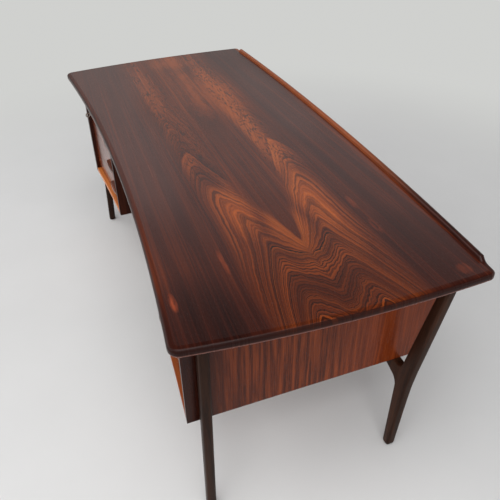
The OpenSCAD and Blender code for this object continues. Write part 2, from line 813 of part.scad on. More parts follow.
drawer_box(1, 2);  // right_top_drawer_box
drawer_floor(1, 2);  // right_top_drawer_floor
drawer_front(1, 1);  // right_middle_drawer_front
drawer_pull(1, 1);  // right_middle_drawer_pull
drawer_box(1, 1);  // right_middle_drawer_box
drawer_floor(1, 1);  // right_middle_drawer_floor
drawer_front(1, 0);  // right_bottom_drawer_front
drawer_pull(1, 0);  // right_bottom_drawer_pull
drawer_box(1, 0);  // right_bottom_drawer_box
drawer_floor(1, 0);  // right_bottom_drawer_floor
lock(0);  // left_lock
lock(1);  // right_lock
key();
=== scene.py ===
"""Looks of the executive desk: finishes, softened arrises, floor, light and camera."""

from __future__ import annotations

import logging
import math
from collections.abc import Iterable, Sequence
from dataclasses import dataclass, field
from enum import Enum
from typing import Any, ClassVar

import bpy
from mathutils import Matrix, Vector

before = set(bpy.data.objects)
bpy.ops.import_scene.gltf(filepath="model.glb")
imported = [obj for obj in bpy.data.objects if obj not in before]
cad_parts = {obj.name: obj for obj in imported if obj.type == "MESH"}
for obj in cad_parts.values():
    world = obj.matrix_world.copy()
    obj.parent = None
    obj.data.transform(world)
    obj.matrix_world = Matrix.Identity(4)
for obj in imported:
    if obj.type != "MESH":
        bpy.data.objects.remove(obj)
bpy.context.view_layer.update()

log = logging.getLogger("desk")

Colour = tuple[float, float, float]
Stop = tuple[float, Colour]


class Side(Enum):
    """The two ends of the desk, as the person who sits at it sees them."""

    LEFT = "left"
    RIGHT = "right"


class Level(Enum):
    """The three drawers of a pedestal."""

    TOP = "top"
    MIDDLE = "middle"
    BOTTOM = "bottom"


class Run(Enum):
    """The axis that the grain of a board runs along."""

    LENGTH = 0
    DEPTH = 1
    HEIGHT = 2


def srgb(red: int, green: int, blue: int) -> Colour:
    """Turns a display colour of 0 to 255 into the linear colour that shaders take.

    Args:
        red: Red on the display.
        green: Green on the display.
        blue: Blue on the display.

    Returns:
        The same colour in linear light.
    """
    def linear(value: int) -> float:
        """Turns one channel linear."""
        share = value / 255
        return share / 12.92 if share <= 0.04045 else ((share + 0.055) / 1.055) ** 2.4

    return linear(red), linear(green), linear(blue)


class Wire:
    """A number socket of a shader that takes part in Python expressions."""

    def __init__(self, bench: Bench, socket: bpy.types.NodeSocket) -> None:
        """Keeps the socket and the bench whose tree it is in.

        Args:
            bench: The node tree.
            socket: The output socket that carries the value.
        """
        self.bench = bench
        self.socket = socket

    def math(self, operation: str, *values: Wire | float, clamp: bool = False) -> Wire:
        """Adds a Math node on the given values.

        Args:
            operation: The Math node's operation.
            values: Its inputs, in order.
            clamp: Whether the result is kept between 0 and 1.

        Returns:
            The result as a new wire.
        """
        settings = {"operation": operation, "use_clamp": clamp}
        return self.bench.node("ShaderNodeMath", settings, dict(enumerate(values)))

    def __add__(self, other: Wire | float) -> Wire:
        """Returns self + other."""
        return self.math("ADD", self, other)

    def __radd__(self, other: float) -> Wire:
        """Returns other + self."""
        return self.math("ADD", other, self)

    def __sub__(self, other: Wire | float) -> Wire:
        """Returns self - other."""
        return self.math("SUBTRACT", self, other)

    def __rsub__(self, other: float) -> Wire:
        """Returns other - self."""
        return self.math("SUBTRACT", other, self)

    def __mul__(self, other: Wire | float) -> Wire:
        """Returns self * other."""
        return self.math("MULTIPLY", self, other)

    def __rmul__(self, other: float) -> Wire:
        """Returns other * self."""
        return self.math("MULTIPLY", other, self)

    def __truediv__(self, other: Wire | float) -> Wire:
        """Returns self / other."""
        return self.math("DIVIDE", self, other)

    def __abs__(self) -> Wire:
        """Returns the size of self without its sign."""
        return self.math("ABSOLUTE", self)

    def larger(self, other: Wire | float) -> Wire:
        """Returns the larger of self and other."""
        return self.math("MAXIMUM", self, other)

    def smaller(self, other: Wire | float) -> Wire:
        """Returns the smaller of self and other."""
        return self.math("MINIMUM", self, other)

    def root(self) -> Wire:
        """Returns the square root of self."""
        return self.math("SQRT", self)

    def wave(self) -> Wire:
        """Returns the sine of self, in radians."""
        return self.math("SINE", self)

    def clamped(self) -> Wire:
        """Returns self kept between 0 and 1."""
        return self.math("ADD", self, 0.0, clamp=True)

    def rise(self, start: float, end: float) -> Wire:
        """Returns a smooth step of self.

        Args:
            start: Where the step is 0.
            end: Where the step is 1, above or below start.

        Returns:
            The step, from 0 to 1.
        """
        step = ((self - start) / (end - start)).clamped()
        return step * step * (3.0 - 2.0 * step)

    def stripe(self, place: float, reach: float, core: float = 0.0) -> Wire:
        """Returns a soft stripe where self is near a place.

        Args:
            place: The value that the stripe lies on.
            reach: How far from it the stripe ends.
            core: How far from it the stripe is still full.

        Returns:
            The stripe, from 0 to 1.
        """
        return abs(self - place).rise(reach, core)


Feed = Wire | float | Sequence[float]


class Bench:
    """The node tree of a material, the world or a modifier, with one method that adds any node."""

    MIX_SHARE = 0
    MIX_LOW = 6
    MIX_HIGH = 7
    MIX_RESULT = 2

    def __init__(self, tree: bpy.types.NodeTree) -> None:
        """Empties the tree.

        Args:
            tree: The tree to build in.
        """
        self.tree = tree
        tree.nodes.clear()

    def node(self, kind: str, settings: dict[str, Any] | None = None,
             inputs: dict[int | str, Feed] | None = None, out: int | str = 0) -> Wire:
        """Adds a node.

        Args:
            kind: The node's type.
            settings: Its properties, and under "stops" the stops of a ramp, which are set first.
            inputs: Values or wires for its sockets, by number or name.
            out: The output socket to return.

        Returns:
            The output socket as a wire, or the first input's where the node has no output.
        """
        made = self.tree.nodes.new(kind)
        for name, value in (settings or {}).items():
            if name == "stops":
                self.set_stops(made.color_ramp, value)
            else:
                setattr(made, name, value)
        for key, value in (inputs or {}).items():
            if isinstance(value, Wire):
                self.tree.links.new(value.socket, made.inputs[key])
            else:
                made.inputs[key].default_value = value
        return Wire(self, made.outputs[out] if made.outputs else made.inputs[0])

    @staticmethod
    def set_stops(ramp: bpy.types.ColorRamp, stops: Sequence[Stop]) -> None:
        """Puts colour stops on a ramp.

        Args:
            ramp: The ramp of a new node, which has two stops.
            stops: Positions and colours, in rising order.
        """
        while len(ramp.elements) < len(stops):
            ramp.elements.new(0.5)
        for element, (place, colour) in zip(ramp.elements, stops):
            element.position = place
            element.color = (*colour, 1.0)

    def point(self) -> tuple[Wire, Wire, Wire]:
        """Returns the place on the piece at rest, as x, y and z in metres."""
        return self.split(self.node("ShaderNodeTexCoord", out="Object"))

    def grained(self, run: Run) -> tuple[Wire, Wire, Wire]:
        """Returns the place along a board's grain and the two places across it."""
        parts = list(self.point())
        return parts.pop(run.value), *parts

    def split(self, vector: Wire) -> tuple[Wire, Wire, Wire]:
        """Returns the three numbers of a vector."""
        parts = self.node("ShaderNodeSeparateXYZ", inputs={0: vector}).socket.node.outputs
        return Wire(self, parts[0]), Wire(self, parts[1]), Wire(self, parts[2])

    def join(self, x: Feed, y: Feed, z: Feed) -> Wire:
        """Returns a vector of three numbers."""
        return self.node("ShaderNodeCombineXYZ", inputs={0: x, 1: y, 2: z})

    def noise(self, place: Wire, scale: float = 1.0, detail: float = 3.0, roughness: float = 0.55) -> Wire:
        """Adds smooth noise of about 0 to 1 over a place.

        Args:
            place: The vector that it varies over.
            scale: Its frequency for each unit of place.
            detail: The number of finer octaves.
            roughness: The strength of each finer octave.

        Returns:
            The noise.
        """
        inputs = {"Vector": place, "Scale": scale, "Detail": detail, "Roughness": roughness}
        return self.node("ShaderNodeTexNoise", inputs=inputs)

    def noise_along(self, value: Wire, scale: float, detail: float = 2.0, roughness: float = 0.5) -> Wire:
        """Adds noise of about 0 to 1 along one number.

        Args:
            value: The number that it varies along.
            scale: Its frequency for each unit.
            detail: The number of finer octaves.
            roughness: The strength of each finer octave.

        Returns:
            The noise.
        """
        inputs = {"W": value, "Scale": scale, "Detail": detail, "Roughness": roughness}
        return self.node("ShaderNodeTexNoise", {"noise_dimensions": "1D"}, inputs)

    def ramp(self, value: Wire, stops: Sequence[Stop]) -> Wire:
        """Returns the colour that a value picks from a ramp of stops."""
        return self.node("ShaderNodeValToRGB", {"stops": stops}, {0: value})

    def mix(self, share: Wire | float, low: Wire | Colour, high: Wire | Colour) -> Wire:
        """Mixes two colours.

        Args:
            share: How much of the second colour is taken.
            low: The first colour.
            high: The second colour.

        Returns:
            The mixed colour.
        """
        def colour(value: Wire | Colour) -> Feed:
            """Gives a plain colour its alpha."""
            return value if isinstance(value, Wire) else (*value, 1.0)

        inputs = {self.MIX_SHARE: share, self.MIX_LOW: colour(low), self.MIX_HIGH: colour(high)}
        return self.node("ShaderNodeMix", {"data_type": "RGBA"}, inputs, out=self.MIX_RESULT)

    def patch(self, x: Wire, y: Wire, spot: Spot) -> Wire:
        """Returns the soft mask of an oval spot, from 0 outside to 1 in its middle."""
        across, along = (x - spot.x) / spot.half_x, (y - spot.y) / spot.half_y
        return (across * across + along * along).rise(1.0, 0.0) * spot.strength

    def bump(self, height: Wire, depth: float, strength: float) -> Wire:
        """Turns a height of 0 to 1 into a normal.

        Args:
            height: The height.
            depth: The depth in metres that a height of 1 stands for.
            strength: The strength of the effect.

        Returns:
            The normal.
        """
        inputs = {"Strength": strength, "Distance": depth, "Height": height}
        return self.node("ShaderNodeBump", inputs=inputs)


@dataclass(frozen=True)
class Spot:
    """A soft oval area of a board, in metres."""

    x: float
    y: float
    half_x: float
    half_y: float
    strength: float = 1.0


@dataclass(frozen=True)
class Tint:
    """A colour that a board takes on towards one side, such as a paler lipping, painted shade or a
    painted highlight along an arris. It grows along axis from start to end, in metres."""

    axis: Run
    start: float
    end: float
    colour: Colour
    strength: float


@dataclass(frozen=True)
class Finish:
    """A finish of one kind of piece: its roughness, metal share and specular level, and the tints
    laid over it. Its subclasses draw the surface."""

    name: str
    gloss: float = 0.35
    metal: float = 0.0
    shine: float = 0.5
    tints: tuple[Tint, ...] = ()

    MARK: ClassVar[str] = "desk_finish"
    TINT_GRAIN: ClassVar[float] = 0.3
    TINT_LEAST: ClassVar[float] = 0.85

    def tinted(self, bench: Bench, colour: Wire, grain: Wire) -> Wire:
        """Lays the finish's tints over a colour.

        Args:
            bench: The node tree.
            colour: The wood's colour.
            grain: Noise along the grain that keeps the tints uneven.

        Returns:
            The tinted colour.
        """
        parts = bench.point()
        for tint in self.tints:
            uneven = grain * (tint.strength * self.TINT_GRAIN) + tint.strength * self.TINT_LEAST
            share = parts[tint.axis.value].rise(tint.start, tint.end) * uneven
            colour = bench.mix(share.clamped(), colour, tint.colour)
        return colour

    def surface(self, bench: Bench) -> dict[str, Feed]:
        """Returns what changes over the surface, by the shader's socket names.

        Args:
            bench: The node tree.

        Returns:
            Values or wires for the Principled shader.
        """
        raise NotImplementedError

    def material(self) -> bpy.types.Material:
        """Builds the material, unless it was built before.

        Returns:
            The material.
        """
        made = bpy.data.materials.get(self.name)
        if made is not None and made.get(self.MARK):
            return made
        made = bpy.data.materials.new(self.name)
        made.use_nodes = True
        made[self.MARK] = True
        bench = Bench(made.node_tree)
        inputs: dict[int | str, Feed] = {
            "Roughness": self.gloss,
            "Metallic": self.metal,
            "Specular IOR Level": self.shine,
            **self.surface(bench),
        }
        shader = bench.node("ShaderNodeBsdfPrincipled", inputs=inputs)
        bench.node("ShaderNodeOutputMaterial", inputs={"Surface": shader})
        return made


@dataclass(frozen=True)
class WoodTones:
    """The colours of a rosewood board, from its darkest lines to its brightest bands."""

    line: Colour
    dark: Colour
    middle: Colour
    bright: Colour


CASE_TONES = WoodTones(srgb(28, 10, 8), srgb(56, 21, 13), srgb(92, 39, 19), srgb(136, 62, 27))
# Painted shade: the kneehole sides take the case's rosewood drawn about half as bright, for the shade under
# the top
SHADED_INNER_TONES = WoodTones(srgb(14, 6, 5), srgb(26, 10, 8), srgb(42, 17, 12), srgb(64, 29, 18))
EDGE_TONES = WoodTones(srgb(16, 6, 4), srgb(32, 11, 7), srgb(49, 18, 11), srgb(72, 31, 18))
LEG_TONES = WoodTones(srgb(18, 11, 7), srgb(34, 19, 12), srgb(50, 29, 19), srgb(72, 43, 28))
PULL_TONES = WoodTones(srgb(24, 13, 10), srgb(50, 26, 19), srgb(84, 42, 27), srgb(120, 62, 36))


@dataclass(frozen=True)
class Rosewood(Finish):
    """Straight-grained rosewood: broad bands, fine dark lines, short pores and an oiled sheen.

    band and streak are the widths of the broad and the fine figure in metres, stretch is how many
    times longer than wide both are, and shift takes the board from another place of the log.
    """

    tones: WoodTones = CASE_TONES
    run: Run = Run.HEIGHT
    band: float = 0.024
    streak: float = 0.006
    stretch: float = 22.0
    shift: float = 0.0
    contrast: float = 1.0

    BAND_SHARE: ClassVar[float] = 0.62
    SPREAD: ClassVar[float] = 2.1
    LINE_HALF: ClassVar[float] = 0.035
    LINE_STRENGTH: ClassVar[float] = 0.75
    PORES_ALONG: ClassVar[float] = 55.0
    PORES_ACROSS: ClassVar[float] = 1500.0
    PORE_STRENGTH: ClassVar[float] = 0.55
    PORE_DEPTH: ClassVar[float] = 0.00012

    def grain_colour(self, bench: Bench, bands: Wire, streaks: Wire) -> Wire:
        """Colours the wood's broad and fine figure.

        Args:
            bench: The node tree.
            bands: The broad figure, from 0 to 1.
            streaks: The fine figure, from 0 to 1.

        Returns:
            The ground colour.
        """
        value = bands * self.BAND_SHARE + streaks * (1.0 - self.BAND_SHARE)
        spread = ((value - 0.5) * (self.SPREAD * self.contrast) + 0.5).clamped()
        tones = self.tones
        stops = [(0.0, tones.dark), (0.42, tones.middle), (0.78, tones.bright), (1.0, tones.middle)]
        return bench.ramp(spread, stops)

    def surface(self, bench: Bench) -> dict[str, Feed]:
        """Draws bands, streaks, lines and pores along the grain.

        Args:
            bench: The node tree.

        Returns:
            The shader's inputs.
        """
        along, first, second = bench.grained(self.run)
        first = first + self.shift
        drift = bench.noise(bench.join(along * 1.6, first * 5.0, second * 5.0), detail=1.0) - 0.5
        sway = drift * self.band * 0.5
        place = bench.join(along / self.stretch, first + sway, second + sway)
        bands = bench.noise(place, 1 / self.band, 2.0, 0.5)
        streaks = bench.noise(place, 1 / self.streak, 3.0, 0.6)
        lines = bench.noise(place, 0.45 / self.streak, 4.0, 0.62)
        dark_line = lines.stripe(0.5, self.LINE_HALF) * bands.rise(0.7, 0.35)
        short = self.PORES_ACROSS
        pore_place = bench.join(along * self.PORES_ALONG, first * short, second * short)
        pores = bench.noise(pore_place, detail=1.0).rise(0.62, 0.74)
        colour = self.grain_colour(bench, bands, streaks)
        colour = bench.mix(dark_line * self.LINE_STRENGTH, colour, self.tones.line)
        colour = bench.mix(pores * self.PORE_STRENGTH, colour, self.tones.line)
        colour = self.tinted(bench, colour, streaks)
        polish = streaks * 0.1 + (self.gloss - 0.05) + pores * 0.12
        height = 1.0 - pores * 0.8 - dark_line * 0.25
        normal = bench.bump(height, self.PORE_DEPTH, 0.5)
        return {"Base Color": colour, "Roughness": polish, "Normal": normal}


TOP_STOPS: tuple[Stop, ...] = (
    (0.0, srgb(30, 10, 7)),
    (0.22, srgb(62, 24, 14)),
    (0.45, srgb(100, 42, 17)),
    (0.7, srgb(154, 73, 26)),
    (1.0, srgb(192, 102, 38)),
)
BOLD_INK = srgb(30, 13, 10)
THIN_INK = srgb(38, 17, 12)
FRINGE_INK = srgb(40, 18, 12)
LOOP_INK = srgb(34, 17, 13)
HAIR_INK = srgb(34, 17, 14)
PORE_INK = srgb(26, 12, 10)
# Painted reflection: a grey sheen of the room's light on parts of the top, laid on as colour
PAINTED_SHEEN = srgb(104, 74, 68)
SAPWOOD = srgb(150, 66, 36)


@dataclass(frozen=True)
class Figure:
    """The layout of the top's veneer, which its drawing steps share.

    leaf is the distance from the seam and across the same with a slow sway. rings is the ring count
    in metres along the top, drawn the count that the lines follow and ragged what frays them. wedge
    and outer are the straight grain at the seam and along the edges, straight is all of it, curl the
    share that ring lines keep and near the right end. broad is the flame's slow bands, wide and
    streaks are the slow and the fine bands of straight grain.
    """

    x: Wire
    y: Wire
    leaf: Wire
    ragged: Wire
    rings: Wire
    drawn: Wire
    broad: Wire
    across: Wire
    wedge: Wire
    outer: Wire
    straight: Wire
    curl: Wire
    near: Wire
    streaks: Wire
    wide: Wire


@dataclass(frozen=True)
class FiguredTop(Finish):
    """The top's book-matched rosewood veneer: two mirrored leaves with a flame figure near the
    right end, straight dark grain along the front and rear edges and paler flame along the middle.

    seam is the seam's place, crest and crest_far a leaf's crest from the seam at the right end and
    far from it, flame_half where the flame gives way to straight grain, arch_reach how far a line
    falls back from its crest, fan_from the place of the dark wedge's point and fan_share how fast
    the lines open there. drawn_lines are single dark lines: their ring and their strength.
    """

    seam: float = 0.005
    crest: float = 0.080
    crest_far: float = 0.140
    flame_half: float = 0.190
    arch_reach: float = 0.098
    fan_from: float = 0.607
    fan_share: float = 0.153
    drawn_lines: tuple[tuple[float, float], ...] = (
        (0.728, 0.60),
        (0.605, 0.55),
        (0.250, 0.45),
        (0.125, 0.40),
    )
    bright_spots: tuple[Spot, ...] = (
        Spot(0.44, 0.115, 0.20, 0.060, 0.9),
        Spot(0.42, -0.105, 0.20, 0.055, 0.75),
        Spot(0.56, 0.00, 0.14, 0.07, 0.9),
        Spot(0.69, 0.00, 0.09, 0.05, 0.35),
        Spot(0.62, 0.13, 0.16, 0.045, 0.55),
        Spot(0.10, 0.125, 0.26, 0.05, 0.85),
        Spot(-0.35, 0.115, 0.50, 0.065, 1.0),
        Spot(-0.50, 0.03, 0.34, 0.05, 0.45),
        Spot(-0.55, -0.13, 0.34, 0.05, 0.3),
        Spot(-0.84, 0.04, 0.12, 0.12, 0.6),
        Spot(-0.40, 0.19, 0.30, 0.03, 0.5),
        Spot(0.10, 0.388, 0.60, 0.022, 0.55),
    )
    dark_spots: tuple[Spot, ...] = (
        Spot(0.20, -0.11, 0.16, 0.05, 0.5),
        Spot(0.88, -0.33, 0.26, 0.16, 0.8),
        Spot(0.78, 0.29, 0.26, 0.12, 0.4),
        Spot(0.86, -0.02, 0.16, 0.16, 0.25),
    )
    # Places of the painted grey sheen
    sheen_spots: tuple[Spot, ...] = (
        Spot(-0.10, -0.30, 0.60, 0.16, 1.0),
        Spot(-0.70, -0.28, 0.40, 0.20, 1.0),
        Spot(-0.30, 0.30, 0.50, 0.10, 0.6),
    )
    sap_spots: tuple[Spot, ...] = (
        Spot(0.742, -0.369, 0.040, 0.011, 0.8),
        Spot(0.879, 0.320, 0.026, 0.024, 0.35),
        Spot(0.640, -0.215, 0.060, 0.010, 0.5),
        Spot(0.640, 0.215, 0.045, 0.010, 0.4),
        Spot(0.510, 0.215, 0.045, 0.012, 0.35),
    )

    BROAD_RATE: ClassVar[float] = 11.0
    BOLD_RATE: ClassVar[float] = 38.0
    BAND_RATE: ClassVar[float] = 44.0
    THIN_RATE: ClassVar[float] = 165.0
    FINE_RATE: ClassVar[float] = 170.0
    FRINGE_RATE: ClassVar[float] = 480.0
    FRINGE_SWAY: ClassVar[float] = 12.0
    LOOP_LEVELS: ClassVar[tuple[float, ...]] = (0.44, 0.52, 0.60)
    LOOP_CREST: ClassVar[float] = 0.130
    PORES_ALONG: ClassVar[float] = 60.0
    PORES_ACROSS: ClassVar[float] = 1400.0
    PORE_DEPTH: ClassVar[float] = 0.0001

    def surface(self, bench: Bench) -> dict[str, Feed]:
        """Draws the figure from one number that counts growth rings over the two leaves.

        Args:
            bench: The node tree.

        Returns:
            The shader's inputs.
        """
        figure = self.lay_out(bench)
        bold = bench.noise_along(figure.drawn, self.BOLD_RATE, 1.0).stripe(0.5, 0.036, 0.004)
        bold = bold * figure.broad.rise(0.35, 0.5)
        pore_place = bench.join(figure.x * self.PORES_ALONG, figure.y * self.PORES_ACROSS, 0.0)
        pores = bench.noise(pore_place, detail=1.0).rise(0.60, 0.74)
        colour = self.ground(bench, figure)
        colour = self.ring_lines(bench, figure, bold, colour)
        colour = self.far_loops(bench, figure, colour)
        colour = self.single_lines(bench, figure, colour)
        colour = self.sheen_hair_and_pores(bench, figure, pores, colour)
        colour = self.tinted(bench, self.sapwood(bench, figure, colour), figure.streaks)
        haze = bench.noise(bench.join(figure.x * 3.0, figure.y * 3.0, 5.0))
        polish = self.gloss + (haze - 0.5) * 0.12 + pores * 0.1 + (figure.streaks - 0.5) * 0.06
        normal = bench.bump(1.0 - pores * 0.7 - bold * 0.2, self.PORE_DEPTH, 0.45)
        return {"Base Color": colour, "Roughness": polish, "Normal": normal}

    def lay_out(self, bench: Bench) -> Figure:
        """Places the noises, the ring count and the zones of the veneer.

        Args:
            bench: The node tree.

        Returns:
            The layout.
        """
        x, y, _ = bench.point()
        leaf = abs(y - self.seam)
        # The leaves share one noise, differ in another, and a third frays the lines
        own = bench.noise(bench.join(x * 1.6, y * 6.0, 3.0), detail=2.0) - 0.5
        shared = bench.noise(bench.join(x * 3.2, leaf * 11.0, 7.0)) - 0.5
        ragged = bench.noise(bench.join(x * 18.0, leaf * 60.0, 1.0), detail=4.0, roughness=0.68) - 0.5
        rings = self.rings(x, leaf, own, shared)
        # Lines lie closer together from the flame's middle on to the right end
        spread = rings.rise(0.35, 0.62) * 0.45 * (rings - 0.58)
        drawn = spread + rings * 0.55 + ragged * 0.021 + own * 0.05
        # Straight grain lies in the wedge at the seam, along the edges and, less pure, at the left
        wedge = rings.rise(0.20, 0.04) * leaf.rise(0.096, 0.066) * x.rise(-0.40, 0.05)
        across = leaf + own * 0.02 + shared * 0.016
        outer = across.rise(self.flame_half - 0.03, self.flame_half + 0.02)
        straight = outer.larger(wedge).larger(x.rise(0.02, -0.50) * 0.8)
        # Its streaks part a little from the seam towards the right
        lean = leaf + own * 0.014 + leaf * x * -0.10
        return Figure(
            x=x, y=y, leaf=leaf, ragged=ragged, rings=rings, drawn=drawn,
            broad=bench.noise_along(drawn, self.BROAD_RATE), across=across, wedge=wedge, outer=outer,
            straight=straight, curl=1.0 - straight * 0.9, near=x.rise(0.50, 0.74),
            streaks=bench.noise(bench.join(x * 1.1, lean * 125.0, 0.0), 1.0, 4.0, 0.6),
            wide=bench.noise(bench.join(x * 0.8, lean * 30.0, 4.0), 1.0, 2.0, 0.5),
        )

    def rings(self, x: Wire, leaf: Wire, own: Wire, shared: Wire) -> Wire:
        """Returns the ring count: each line arches over the leaf's crest, runs in to a point at the
        seam, where the lines fan out of one wedge, and runs out straight.

        Args:
            x: The place along the top.
            leaf: The distance from the seam.
            own: Slow noise that differs between the leaves.
            shared: Noise that both leaves share.

        Returns:
            The place along the top where the line through this point has its crest.
        """
        axis = self.crest + (self.crest_far - self.crest) * x.rise(0.66, 0.25)
        depth = axis - leaf - own * 0.030 - shared * 0.030
        # A soft choice of the larger of depth and 0, so that a line's crest is round
        inner = ((depth * depth + 0.00012).root() + depth) * 0.5
        outside = inner - depth
        reach = (axis - inner).larger(0.0)
        arch = x - self.arch_reach * inner / axis
        fan = (axis * x - self.fan_from * inner) / (self.fan_share * axis + (1.0 - self.fan_share) * reach)
        inward = arch.smaller(fan).larger(-1.5)
        return inward - outside * 2.2 - outside * outside * 16.0 + shared * 0.07

    def ground(self, bench: Bench, figure: Figure) -> Wire:
        """Colours the flame, the straight grain and the pale and dark places.

        Args:
            bench: The node tree.
            figure: The veneer's layout.

        Returns:
            The colour without its lines.
        """
        bands = bench.noise_along(figure.drawn, self.BAND_RATE, roughness=0.55)
        fine = bench.noise_along(figure.drawn, self.FINE_RATE, roughness=0.6)
        flame = figure.broad * 0.40 + bands * 0.36 + fine * 0.24 - 0.5
        plain = figure.wide * 0.45 + figure.streaks * 0.55 - 0.5
        flamed = flame * (1.0 - figure.straight) * (1.35 - figure.near * 0.35)
        bright = self.cover(bench, figure, self.bright_spots) * (1.0 - figure.wedge * 0.9)
        dark = self.cover(bench, figure, self.dark_spots)
        value = flamed + plain * figure.straight * 0.9 + 0.46
        value = value + bright * 0.25 - dark * 0.22 - figure.wedge * 0.15 - figure.outer * 0.22
        return bench.ramp(value.clamped(), TOP_STOPS)

    def ring_lines(self, bench: Bench, figure: Figure, bold: Wire, colour: Wire) -> Wire:
        """Draws the bold, thin and evenly spaced lines that follow the rings.

        Args:
            bench: The node tree.
            figure: The veneer's layout.
            bold: The mask of the bold lines.
            colour: The colour so far.

        Returns:
            The colour with these lines.
        """
        thin = bench.noise_along(figure.drawn, self.THIN_RATE, 1.0).stripe(0.5, 0.075, 0.01)
        phase = figure.drawn * self.FRINGE_RATE + figure.broad * self.FRINGE_SWAY
        fringe = phase.wave().rise(0.25, 0.95)
        colour = bench.mix(bold * figure.curl * 0.62, colour, BOLD_INK)
        colour = bench.mix(thin * figure.curl * (figure.near * 0.30 + 0.34), colour, THIN_INK)
        return bench.mix(fringe * figure.curl * (figure.near * 0.50 + 0.14), colour, FRINGE_INK)

    def far_loops(self, bench: Bench, figure: Figure, colour: Wire) -> Wire:
        """Draws the dark loops along both leaves' crests, away from the flame.

        Args:
            bench: The node tree.
            figure: The veneer's layout.
            colour: The colour so far.

        Returns:
            The colour with the loops.
        """
        swirl = bench.noise(bench.join(figure.x * 4.6, figure.leaf * 27.0, figure.y * 3.0), 1.0, 2.5, 0.5)
        chain = figure.across.stripe(self.LOOP_CREST, 0.080, 0.020) * figure.x.rise(0.42, 0.12)
        for level in self.LOOP_LEVELS:
            colour = bench.mix(swirl.stripe(level, 0.016, 0.003) * chain * 0.7, colour, LOOP_INK)
        return colour

    def single_lines(self, bench: Bench, figure: Figure, colour: Wire) -> Wire:
        """Draws the few strong lines that stand out of the flame.

        Args:
            bench: The node tree.
            figure: The veneer's layout.
            colour: The colour so far.

        Returns:
            The colour with these lines.
        """
        wavering = figure.rings + figure.ragged * 0.030
        for ring, strength in self.drawn_lines:
            line = wavering.stripe(ring, 0.0062, 0.001) * figure.curl
            colour = bench.mix(line * strength, colour, PORE_INK)
        return colour

    def sheen_hair_and_pores(self, bench: Bench, figure: Figure, pores: Wire, colour: Wire) -> Wire:
        """Draws the painted sheen, the hair lines of straight grain and the pores.

        Args:
            bench: The node tree.
            figure: The veneer's layout.
            pores: The mask of the pores.
            colour: The colour so far.

        Returns:
            The colour with them.
        """
        hair = figure.streaks.stripe(0.5, 0.03) * figure.straight
        # Painted reflection: a grey sheen over parts of the top's left half and rear
        colour = bench.mix(self.cover(bench, figure, self.sheen_spots) * 0.30, colour, PAINTED_SHEEN)
        colour = bench.mix(hair * 0.35, colour, HAIR_INK)
        return bench.mix(pores * 0.45, colour, PORE_INK)

    def sapwood(self, bench: Bench, figure: Figure, colour: Wire) -> Wire:
        """Draws the small reddish sapwood marks.

        Args:
            bench: The node tree.
            figure: The veneer's layout.
            colour: The colour so far.

        Returns:
            The colour with the marks.
        """
        for spot in self.sap_spots:
            flecked = (figure.streaks * 2.2 + figure.ragged * 3.0 - 0.6).clamped()
            colour = bench.mix(bench.patch(figure.x, figure.y, spot) * flecked, colour, SAPWOOD)
        return colour

    @staticmethod
    def cover(bench: Bench, figure: Figure, spots: Iterable[Spot]) -> Wire:
        """Returns the mask of several spots together, from 0 to 1."""
        first, *others = [bench.patch(figure.x, figure.y, spot) for spot in spots]
        return sum(others, first).clamped()


@dataclass(frozen=True)
class LightWood(Finish):
    """Pale close-grained hardwood of the drawer boxes, floors and runners."""

    run: Run = Run.DEPTH
    growth_stops: tuple[Stop, ...] = (
        (0.25, srgb(176, 134, 88)),
        (0.5, srgb(203, 164, 115)),
        (0.75, srgb(217, 183, 136)),
    )
    fleck: Colour = srgb(138, 96, 58)
    aged: Colour = srgb(186, 138, 90)

    GROWTH_ACROSS: ClassVar[float] = 18.0
    FLECKS_ALONG: ClassVar[float] = 90.0
    FLECKS_ACROSS: ClassVar[float] = 900.0
    FLECK_DEPTH: ClassVar[float] = 0.00008

    def surface(self, bench: Bench) -> dict[str, Feed]:
        """Draws soft growth lines, flecks and slight toning.

        Args:
            bench: The node tree.

        Returns:
            The shader's inputs.
        """
        along, first, second = bench.grained(self.run)
        sway = bench.noise(bench.join(along * 2.0, first * 6.0, second * 6.0)) * 0.01
        width = self.GROWTH_ACROSS
        place = bench.join(along * 0.8, (first + sway) * width, (second + sway) * width)
        growth = bench.noise(place, 4.0, 4.0, 0.6)
        short = self.FLECKS_ACROSS
        fleck_place = bench.join(along * self.FLECKS_ALONG, first * short, second * short)
        flecks = bench.noise(fleck_place, detail=1.0)
        x, y, z = bench.point()
        tone = bench.noise(bench.join(x * 3.0, y * 3.0, z * 9.0))
        colour = bench.ramp(growth, self.growth_stops)
        colour = bench.mix(flecks.rise(0.62, 0.75) * 0.35, colour, self.fleck)
        colour = bench.mix(tone * 0.25, colour, self.aged)
        polish = growth * 0.15 + (self.gloss - 0.07)
        normal = bench.bump(flecks, self.FLECK_DEPTH, 0.4)
        return {"Base Color": colour, "Roughness": polish, "Normal": normal}


@dataclass(frozen=True)
class Metal(Finish):
    """Turned and worn metal, with fine marks from the lathe and a toned film."""

    fresh: Colour = srgb(200, 160, 90)
    toned: Colour = srgb(140, 100, 52)

    FILM_RATE: ClassVar[float] = 160.0
    MARKS_ALONG: ClassVar[float] = 400.0
    MARKS_ACROSS: ClassVar[float] = 2600.0
    MARK_DEPTH: ClassVar[float] = 0.00002

    def surface(self, bench: Bench) -> dict[str, Feed]:
        """Draws toning, scratches and uneven polish.

        Args:
            bench: The node tree.

        Returns:
            The shader's inputs.
        """
        x, y, z = bench.point()
        film = bench.noise(bench.join(x, y, z), self.FILM_RATE, 4.0, 0.6)
        fine = self.MARKS_ACROSS
        marks = bench.noise(bench.join(x * self.MARKS_ALONG, y * fine, z * fine), detail=2.0)
        colour = bench.mix(film.rise(0.35, 0.7), self.fresh, self.toned)
        polish = film * 0.25 + marks * 0.12 + (self.gloss - 0.15)
        normal = bench.bump(marks, self.MARK_DEPTH, 0.3)
        return {"Base Color": colour, "Roughness": polish, "Normal": normal}


